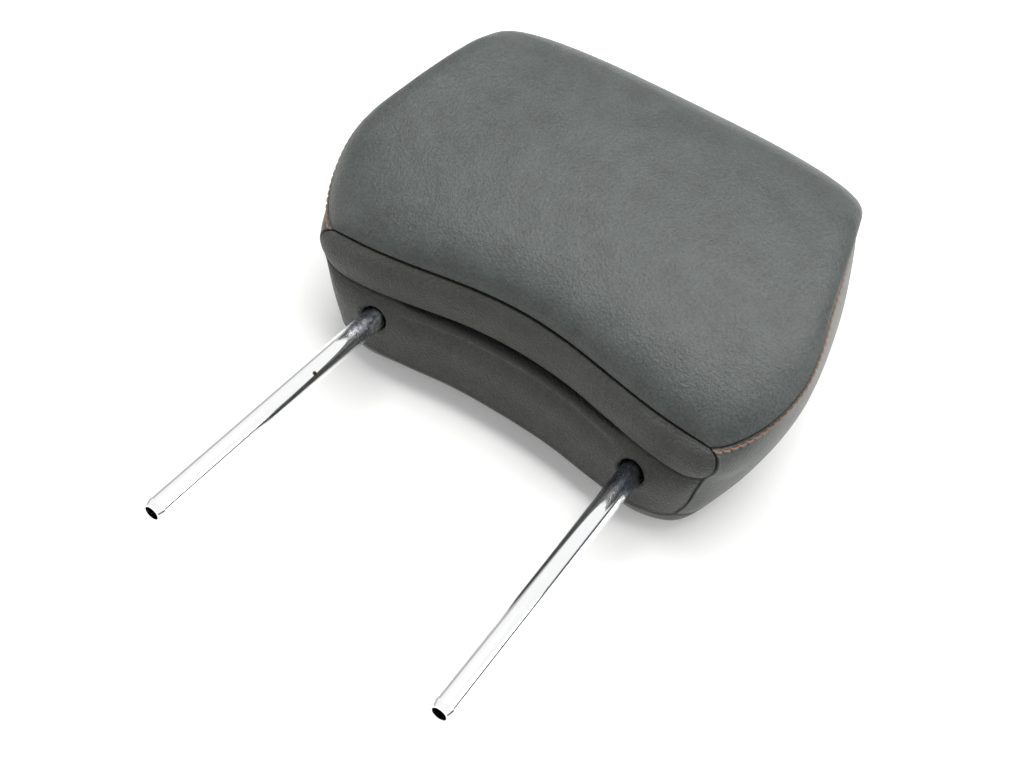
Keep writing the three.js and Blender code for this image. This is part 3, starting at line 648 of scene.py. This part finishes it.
leather_face = leather("leather", (0.062, 0.07, 0.067), 0.42, grain=0.85)
leather_lower = leather("leather_lower", (0.049, 0.051, 0.046), 0.44, grain=1.9,
                        dirt=((to_frame(DIRT_SPOT), 0.0018, (0.02, 0.015, 0.009)),
                              (to_frame(DIRT_SPOT), 0.0012, (0.004, 0.003, 0.002))))
chrome_plate = chrome()
foam_matter = rough_dark("foam", (0.012, 0.012, 0.013), 0.95, 900)
plastic_matter = rough_dark("carrier_plastic", (0.018, 0.018, 0.019), 0.55, 1500)
zinc_plate = rough_dark("screw_steel", (0.45, 0.46, 0.47), 0.35, 1200)
zinc_plate.node_tree.nodes["Principled BSDF"].inputs["Metallic"].default_value = 1.0
copper_thread = rough_dark("stitch_thread", (0.21, 0.115, 0.065), 0.6, 1600)
copper_thread.node_tree.nodes["Principled BSDF"].inputs["Sheen Weight"].default_value = 0.3

# Cover panels

across = stations(PANEL_ACROSS, 2.6)
upward = stations(GUSSET_ALONG, 2.6)[:-len(NEAR_SEAM)] * FACE_TOP
over_top = np.linspace(FACE_TOP, 1, 40)
over_top = over_top[over_top < 1 - 9 / FRONT_OVER]
face_rows = np.concatenate([upward, over_top, 1 - (NEAR_SEAM + SEAM_HALF_GAP)[::-1] / FRONT_OVER])

front = cover_panel("front_panel", lambda p, v: face_point(signed(p), v), across, face_rows, False,
                    [leather_face])
band = cover_panel("bottom_band", lambda p, t: band_point(signed(p), t), across, stations(BAND_DOWN, 0.9),
                   True, [leather_lower])

# The lower panel with its two post holes

POST_RINGS = (7.3, 7.42, 7.6, 7.85, 8.2, 8.6, 9.1, 9.7, 10.4)
WELL_DEPTHS = (0.6, 1.6, 3.5, 7, 12)
WELL_LIP = (1.1, 0.55)  # how far the leather is drawn in at a post hole, and how fast that fades
WELL_SWELL = (0.45, 9.4, 1.2)  # height, radius and width of the soft ring round the hole
SEARCH_ROUNDS = 12
SEARCH_LIMITS = (0.02, 0.05)  # the largest move in one round, across and down the panel


def from_post(points, side):
    """Places across a post's axis, as two distances, and how far they are from that axis."""
    offset = points - tip_at(side)
    radial = offset - column(offset @ POST_DIRECTION) * POST_DIRECTION
    flat = np.stack([radial[..., 0], radial @ POST_UP], axis=-1)
    return flat, np.linalg.norm(flat, axis=-1)


def lower_surface(p, t):
    return lower_point(signed(p), t)


def find_on_lower(target, side, p, t):
    """Shares of the lower panel whose surface lies at the given places across a post's axis."""
    step = 1e-3
    for _ in range(SEARCH_ROUNDS):
        here = from_post(lower_surface(p, t), side)[0]
        by_p = (from_post(lower_surface(p + step, t), side)[0] - here) / step
        by_t = (from_post(lower_surface(p, t + step), side)[0] - here) / step
        miss = target - here
        size = by_p[..., 0] * by_t[..., 1] - by_p[..., 1] * by_t[..., 0]
        move_p = (miss[..., 0] * by_t[..., 1] - miss[..., 1] * by_t[..., 0]) / size
        move_t = (by_p[..., 0] * miss[..., 1] - by_p[..., 1] * miss[..., 0]) / size
        p = p + np.clip(move_p, -SEARCH_LIMITS[0], SEARCH_LIMITS[0])
        t = t + np.clip(move_t, -SEARCH_LIMITS[1], SEARCH_LIMITS[1])
    return p, t


def lower_panel():
    """The panel with the post holes: a grid with a window round each hole, and rings inside the window."""
    p_grid, t_grid = np.meshgrid(stations(PANEL_ACROSS, 2.0), stations(LOWER_DOWN, 0.9))
    points = lower_surface(p_grid, t_grid)
    faces = []
    numbers = np.arange(p_grid.size).reshape(p_grid.shape)
    windows = []
    for side in (-1, 1):
        inside = from_post(points, side)[1] < POST_RINGS[-1]
        rows, columns = np.where(inside)
        windows.append((side, max(rows.min() - 1, 1), rows.max() + 1, columns.min() - 1, columns.max() + 1))
    for i in range(p_grid.shape[0] - 1):
        for j in range(p_grid.shape[1] - 1):
            if any(r0 <= i < r1 and c0 <= j < c1 for _, r0, r1, c0, c1 in windows):
                continue
            faces.append((numbers[i, j], numbers[i + 1, j], numbers[i + 1, j + 1], numbers[i, j + 1]))
    p_all, t_all = [p_grid.ravel()], [t_grid.ravel()]
    sink = [np.zeros(p_grid.size)]
    total = p_grid.size
    for side, r0, r1, c0, c1 in windows:
        loop = np.concatenate([numbers[r0, c0:c1], numbers[r0:r1, c1],
                               numbers[r1, c1:c0:-1], numbers[r1:r0:-1, c0]])
        flat = from_post(points.reshape(-1, 3)[loop], side)[0]
        reach = np.linalg.norm(flat, axis=-1, keepdims=True)
        unit = flat / reach
        start_p, start_t = p_grid.ravel()[loop], t_grid.ravel()[loop]
        rings = [loop]
        fractions = [(r - POST_RINGS[0]) / (POST_RINGS[-1] - POST_RINGS[0]) for r in POST_RINGS]
        for share in fractions[-2::-1]:
            radius = POST_RINGS[0] + (reach - POST_RINGS[0]) * share
            start_p, start_t = find_on_lower(unit * radius, side, start_p, start_t)
            p_all.append(start_p)
            t_all.append(start_t)
            sink.append(np.zeros(len(loop)))
            rings.append(total + np.arange(len(loop)))
            total += len(loop)
        for depth in WELL_DEPTHS:
            p_all.append(start_p)
            t_all.append(start_t)
            sink.append(np.full(len(loop), depth))
            rings.append(total + np.arange(len(loop)))
            total += len(loop)
        for outer, inner in zip(rings, rings[1:]):
            for k in range(len(loop)):
                nxt = (k + 1) % len(loop)
                faces.append((outer[k], outer[nxt], inner[nxt], inner[k])[::-1])
    p, t, sunk = np.concatenate(p_all), np.concatenate(t_all), np.concatenate(sink)
    points = lower_surface(p, t)
    distance = np.minimum(np.minimum(p, 1 - p) * PANEL_ACROSS, np.minimum(t, 1 - t) * LOWER_DOWN)
    out = outward(points)
    points = points - out * column(seam_drop(distance))
    for side in (-1, 1):
        radius = from_post(points, side)[1]
        lip = WELL_LIP[0] * np.exp(-np.maximum(radius - POST_RINGS[0], 0) / WELL_LIP[1])
        points = points + POST_DIRECTION * column(lip - hump(radius, WELL_SWELL))
    points = points + POST_DIRECTION * column(sunk)
    border = np.concatenate([numbers[0, :-1], numbers[:-1, -1], numbers[-1, :0:-1], numbers[:0:-1, 0]])
    rim = points[border] - out[border] * RIM_DEPTH
    for k in range(len(border)):
        nxt = (k + 1) % len(border)
        faces.append((border[k], total + k, total + nxt, border[nxt])[::-1])
    panel = add_object("lower_panel", to_frame(np.vstack([points, rim])), faces,
                       [leather_lower, foam_matter])
    # painted shade: the walls of each post hole take the near-black foam finish in place of leather
    inside = np.concatenate([sunk > 0, np.ones(len(rim), bool)])
    shaded_well_faces = [int(all(inside[k] for k in face)) for face in faces]
    panel.data.polygons.foreach_set("material_index", shaded_well_faces)
    # painted shade: the leather is darkened to near-black on its way into the slit, under the band's
    # overhang
    down_slit = t / slit_mouth(slit_open(points[:, 0]))
    depth = slit_share(points[:, 0]) * (1 - soft((down_slit - SLIT_PAINTED_SHADE[0]) / SLIT_PAINTED_SHADE[1]))
    depth = np.concatenate([depth, np.ones(len(rim))])
    panel.data.attributes.new("depth", "FLOAT", "POINT").data.foreach_set("value", depth.astype(np.float32))
    return panel


lower = lower_panel()

gusset_up = stations(GUSSET_ALONG, 2.4)
gusset_down = stations(GUSSET_DOWN, 2.2)
right = cover_panel("right_gusset", gusset_point, gusset_up, gusset_down, True, [leather_face])
left = cover_panel("left_gusset", lambda b, c: gusset_point(b, c) * MIRROR, gusset_up, gusset_down, False,
                   [leather_face])
back = cover_panel("back_panel", lambda p, b: back_point(signed(p), b), across, stations(BACK_ALONG, 2.8),
                   True, [leather_face])

for piece, cad in ((front, "cover_front_panel"), (band, "cover_bottom_band"), (lower, "cover_lower_panel"),
                   (right, "cover_right_gusset"), (left, "cover_left_gusset"), (back, "cover_back_panel")):
    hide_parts(cad)
    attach(piece, "root")

# The foam under the cover, drawn in round the posts

FOAM_GAP = 4.2
FOAM_WELL = (14, 7, 3)  # how deep the foam stands back round a post, to what radius, and over what width
FOAM_WELL_END = 190  # only this far from the post's tip


def foam():
    """The foam's skin, one patch under each panel."""
    vertices, faces = [], []

    def add(points, flip):
        start = len(vertices)
        moved = points - outward(points) * FOAM_GAP
        for side in (-1, 1):
            along = (moved - tip_at(side)) @ POST_DIRECTION
            distance = from_post(moved, side)[1]
            near = FOAM_WELL[0] * (1 - soft((distance - FOAM_WELL[1]) / FOAM_WELL[2]))
            moved = moved + POST_DIRECTION * column(near * (along < FOAM_WELL_END))
        vertices.extend(moved.reshape(-1, 3))
        faces.extend(grid_faces(points.shape[0], points.shape[1], flip) + start)

    even = np.linspace(0, 1, 61)
    a, q = np.meshgrid(even, even)
    add(face_point(signed(a), q), False)
    add(gusset_point(a, q), True)
    add(gusset_point(a, q) * MIRROR, False)
    add(back_point(signed(a), q), True)
    add(lower_point(signed(a), q), True)
    add(band_point(signed(a), q * 0.85), True)
    return add_object("foam", to_frame(vertices), faces, [foam_matter])


foam_piece = foam()
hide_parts("foam_core")
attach(foam_piece, "root")

# The bent tube with its posts


def frame_path():
    """Marks along the tube from tip to tip, its centres and directions there, and its whole length."""
    corners = [tip_at(-1), knee_at(-1), knee_at(-1) + (0, FRAME_RISE, 0),
               knee_at(1) + (0, FRAME_RISE, 0), knee_at(1), tip_at(1)]
    radii = [0, KNEE_RADIUS, SHOULDER_RADIUS, SHOULDER_RADIUS, KNEE_RADIUS, 0]
    path = [corners[0]]
    for i in range(1, 5):
        before = corners[i - 1] - corners[i]
        after = corners[i + 1] - corners[i]
        before, after = before / np.linalg.norm(before), after / np.linalg.norm(after)
        half = math.acos(np.clip(before @ after, -1, 1)) / 2
        reach = radii[i] / math.tan(half)
        middle = (before + after) / np.linalg.norm(before + after)
        centre = corners[i] + middle * radii[i] / math.sin(half)
        start, end = corners[i] + before * reach - centre, corners[i] + after * reach - centre
        sweep = math.acos(np.clip(start @ end / radii[i] ** 2, -1, 1))
        for share in np.linspace(0, 1, 17):
            turned = start * math.sin((1 - share) * sweep) + end * math.sin(share * sweep)
            path.append(centre + turned / math.sin(sweep))
    path.append(corners[-1])
    path = np.array(path)
    run = np.concatenate([[0], np.cumsum(np.linalg.norm(np.diff(path, axis=0), axis=1))])
    marks = [*run, *TIP_MARKS, *(run[-1] - mark for mark in TIP_MARKS)]
    for notch in NOTCHES:
        marks += [notch + s * (NOTCH_WIDTH / 2 + d) for s in (-1, 1) for d in (-0.12, 0.12)]
    marks = np.array(sorted(set(np.round(marks, 4))))
    centres = np.stack([np.interp(marks, run, path[:, k]) for k in range(3)], 1)
    tangents = np.gradient(centres, axis=0)
    return marks, centres, tangents / np.linalg.norm(tangents, axis=1, keepdims=True), run[-1]


def around_tube(tangents):
    """Directions round the tube at each of its places, carried along it so that they don't twist."""
    angle = column(np.arange(TUBE_SIDES) / TUBE_SIDES * 2 * np.pi)
    normal = np.array([1.0, 0, 0])
    for tangent in tangents:
        normal = normal - tangent * (normal @ tangent)
        normal /= np.linalg.norm(normal)
        yield np.cos(angle) * normal + np.sin(angle) * np.cross(tangent, normal)


def post_frame():
    marks, centres, tangents, total = frame_path()
    outer, inner = [], []
    for mark, centre, around in zip(marks, centres, around_tube(tangents)):
        from_tip = min(mark, total - mark)
        ring = around * (POST_RADIUS - TIP_CHAMFER[0] * (1 - min(from_tip / TIP_CHAMFER[1], 1)))
        if any(abs(mark - notch) < NOTCH_WIDTH / 2 for notch in NOTCHES):
            ring[:, 0] = np.maximum(ring[:, 0], -(POST_RADIUS - NOTCH_DEPTH))
        outer.append(centre + ring)
        inner.append(centre + around * BORE_RADIUS)
    rings = outer + inner[::-1]
    faces = []
    for i in range(len(rings)):
        here, there = i * TUBE_SIDES, (i + 1) % len(rings) * TUBE_SIDES
        for j in range(TUBE_SIDES):
            nxt = (j + 1) % TUBE_SIDES
            faces.append((here + j, here + nxt, there + nxt, there + j))
    obj = add_object("post_tube", to_frame(np.vstack(rings)), faces, [chrome_plate])
    bpy.context.view_layer.objects.active = obj
    obj.select_set(True)
    bpy.ops.object.shade_smooth_by_angle(angle=math.radians(28))
    obj.select_set(False)
    return obj


posts = post_frame()
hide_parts("post_frame")
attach(posts, "root")

# Decorative stitches beside the side seams


def run_down(share):
    """How far from the seam a share of the side panel is, in millimetres."""
    middle = np.full(50, 0.4)
    line = gusset_point(middle, np.linspace(0, share, 50))
    return np.sum(np.linalg.norm(np.diff(line, axis=0), axis=1))


def stitches(name, mirror):
    """A row of separate stitches along a side panel."""
    even = np.linspace(0, 1, 2001)
    line = gusset_point(even, np.full_like(even, STITCH_ROW))
    run = np.concatenate([[0], np.cumsum(np.linalg.norm(np.diff(line, axis=0), axis=1))])
    count = int((run[-1] - 4) / STITCH_PITCH)
    drop = seam_drop(run_down(STITCH_ROW))
    sides, steps = STITCH_SIDES, STITCH_STEPS
    bow, shift, slant = STITCH_BOW
    height, sink = STITCH_SINK
    vertices, faces = [], []
    for k in range(count):
        middle = 0.8 + (k + 0.5) * STITCH_PITCH
        share = np.interp(middle, run, even)
        here = gusset_point(np.array([share]), np.array([STITCH_ROW]))[0]
        ahead = gusset_point(np.array([share + 0.004]), np.array([STITCH_ROW]))[0] - here
        down = gusset_point(np.array([share]), np.array([STITCH_ROW + 0.01]))[0] - here
        ahead /= np.linalg.norm(ahead)
        normal = np.cross(down, ahead)
        normal /= np.linalg.norm(normal)
        if normal @ outward(here[None])[0] < 0:
            normal = -normal
        sideways = np.cross(ahead, normal)
        if sideways @ down < 0:
            sideways = -sideways
        start = len(vertices)
        for s in range(steps + 1):
            u = s / steps * 2 - 1
            # each stitch bows away from the seam and its ends sink into the leather
            centre = (here + ahead * u * STITCH_LENGTH / 2
                      + sideways * (bow * (1 - u * u) + shift + slant * u)
                      + normal * (height - drop - sink * abs(u) ** 3))
            thick = STITCH_RADIUS * (1 - 0.35 * u ** 4)
            for j in range(sides):
                turn = j / sides * 2 * math.pi
                ply = 1 + 0.1 * math.cos(2 * turn + u * 9)
                spoke = normal * math.cos(turn) + sideways * math.sin(turn)
                vertices.append(centre + spoke * thick * ply)
        for s in range(steps):
            for j in range(sides):
                a, b = start + s * sides + j, start + s * sides + (j + 1) % sides
                faces.append((a, b, b + sides, a + sides))
        faces.append([start + j for j in range(sides)][::-1])
        faces.append([start + steps * sides + j for j in range(sides)])
    vertices = np.array(vertices) * (MIRROR if mirror else 1)
    return add_object(name, to_frame(vertices), faces, [copper_thread])


for name, cad, mirror in (("stitches_right", "stitch_thread_right", False),
                          ("stitches_left", "stitch_thread_left", True)):
    row = stitches(name, mirror)
    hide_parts(cad)
    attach(row, "root")

# Hidden CAD parts keep their shape and take a finish

for cad, finish in (("carrier_rear_shell", plastic_matter), ("carrier_front_shell", plastic_matter),
                    ("closure_strip_upper", plastic_matter), ("closure_strip_lower", plastic_matter),
                    *((f"carrier_screw_{i}", zinc_plate) for i in range(1, 5))):
    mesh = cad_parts[cad].data
    mesh.materials.clear()
    mesh.materials.append(finish)

# Floor, light and camera

FLOOR_SIZE = 6.0
FLOOR_DROP = 0.0002
FLOOR_GLOW = 0.17  # what the floor gives to the camera and to reflections, beside the light it gets
SKY_LIGHT = 0.27
WHITE = (1.0, 1.0, 1.0)
BLACK = (0.0, 0.0, 0.0)
HORIZON_TONES = [(0.0, WHITE), (0.46, WHITE), (0.485, BLACK), (0.56, BLACK), (0.61, WHITE)]
SIDE_TONES = [(0.3, (0.5, 0.5, 0.48)), (0.7, (0.07, 0.07, 0.08))]
BOTH_SIDES = {"From Min": -1, "From Max": 1}
floor_corners = ((-1, -1), (1, -1), (1, 1), (-1, 1))
floor_vertices = [(x * FLOOR_SIZE, y * FLOOR_SIZE, -FLOOR_DROP) for x, y in floor_corners]
floor_material, floor_tree, floor_shader = new_material("floor")
floor_shader.inputs["Base Color"].default_value = (0.88, 0.885, 0.87, 1)
floor_shader.inputs["Roughness"].default_value = 0.8
seen = node(floor_tree, "ShaderNodeLightPath").outputs
any_view = computed(floor_tree, "MAXIMUM", seen["Is Camera Ray"], seen["Is Glossy Ray"])
glow = computed(floor_tree, "MULTIPLY", any_view, FLOOR_GLOW)
floor_shader.inputs["Emission Color"].default_value = (1, 1, 1, 1)
floor_tree.links.new(glow, floor_shader.inputs["Emission Strength"])
floor = add_object("floor", floor_vertices, [(0, 1, 2, 3)], [floor_material], smooth=False)

world = bpy.data.worlds.new("studio")
bpy.context.scene.world = world
world.use_nodes = True
sky_tree = world.node_tree
sky = sky_tree.nodes["Background"]
sky_seen = node(sky_tree, "ShaderNodeLightPath").outputs
seen_straight = computed(sky_tree, "MAXIMUM", sky_seen["Is Camera Ray"], sky_seen["Is Transmission Ray"])
seen_any = computed(sky_tree, "MAXIMUM", seen_straight, sky_seen["Is Glossy Ray"])
sky_level = ranged(sky_tree, seen_any, {"To Min": SKY_LIGHT, "To Max": 1.0})
sky_tree.links.new(sky_level, sky.inputs["Strength"])
# reflections show the dark line of the room between the white floor and the white ceiling
sky_place = node(sky_tree, "ShaderNodeTexCoord")
sky_height = node(sky_tree, "ShaderNodeSeparateXYZ")
sky_tree.links.new(sky_place.outputs["Generated"], sky_height.inputs["Vector"])
# the dark line is taller on the left
stripe = ranged(sky_tree, sky_height.outputs["X"], {**BOTH_SIDES, "To Min": 2.1, "To Max": 1.2})
height_share = ranged(sky_tree, computed(sky_tree, "DIVIDE", sky_height.outputs["Z"], stripe), BOTH_SIDES)
side_share = ranged(sky_tree, sky_height.outputs["X"], BOTH_SIDES)
room = ramp(sky_tree, HORIZON_TONES, height_share)
side_tone = ramp(sky_tree, SIDE_TONES, side_share)
room_tone = mixed(sky_tree, room.outputs["Color"], side_tone.outputs["Color"], WHITE)
sky_tree.links.new(mixed(sky_tree, sky_seen["Is Glossy Ray"], WHITE, room_tone), sky.inputs["Color"])


def area_light(name, place, target, size, power):
    light = bpy.data.lights.new(name, "AREA")
    light.shape = "RECTANGLE"
    light.size, light.size_y = size
    light.energy = power
    obj = bpy.data.objects.new(name, light)
    bpy.context.collection.objects.link(obj)
    obj.location = place
    obj.rotation_euler = (Vector(target) - Vector(place)).to_track_quat("-Z", "Y").to_euler()


area_light("key", (0.05, 0.62, 1.83), (0, 0.05, 0.05), (1.7, 1.3), 45)
area_light("fill", (1.3, 0.3, 0.7), (0, 0, 0.05), (1.0, 0.8), 6)
area_light("low_left", (-1.2, -0.7, 0.4), (-0.05, -0.05, 0.04), (0.8, 0.6), 3.5)

CAMERA_FROM_TIPS = np.array([178.5, -94.6, 498.5])  # millimetres from the middle of the two post tips
CAMERA_LENS = 43.54
camera_data = bpy.data.cameras.new("camera")
camera = bpy.data.objects.new("camera", camera_data)
bpy.context.collection.objects.link(camera)
camera_data.sensor_width = 36
camera_data.lens = CAMERA_LENS
camera_data.clip_start = 0.01
camera_data.clip_end = 50
right_axis = Vector((0.8249, 0.5653, 0)).normalized()
forward_axis = Vector((-0.2832, 0.4132, -0.8655)).normalized()
up_axis = right_axis.cross(forward_axis).normalized()
right_axis = forward_axis.cross(up_axis).normalized()
tips = (tip_at(-1) + tip_at(1)) / 2
camera.matrix_world = (Matrix.Translation(Vector(to_frame(tips + CAMERA_FROM_TIPS)))
                       @ Matrix((right_axis, up_axis, -forward_axis)).transposed().to_4x4())
bpy.context.scene.camera = camera

bpy.context.scene.view_settings.view_transform = "Standard"
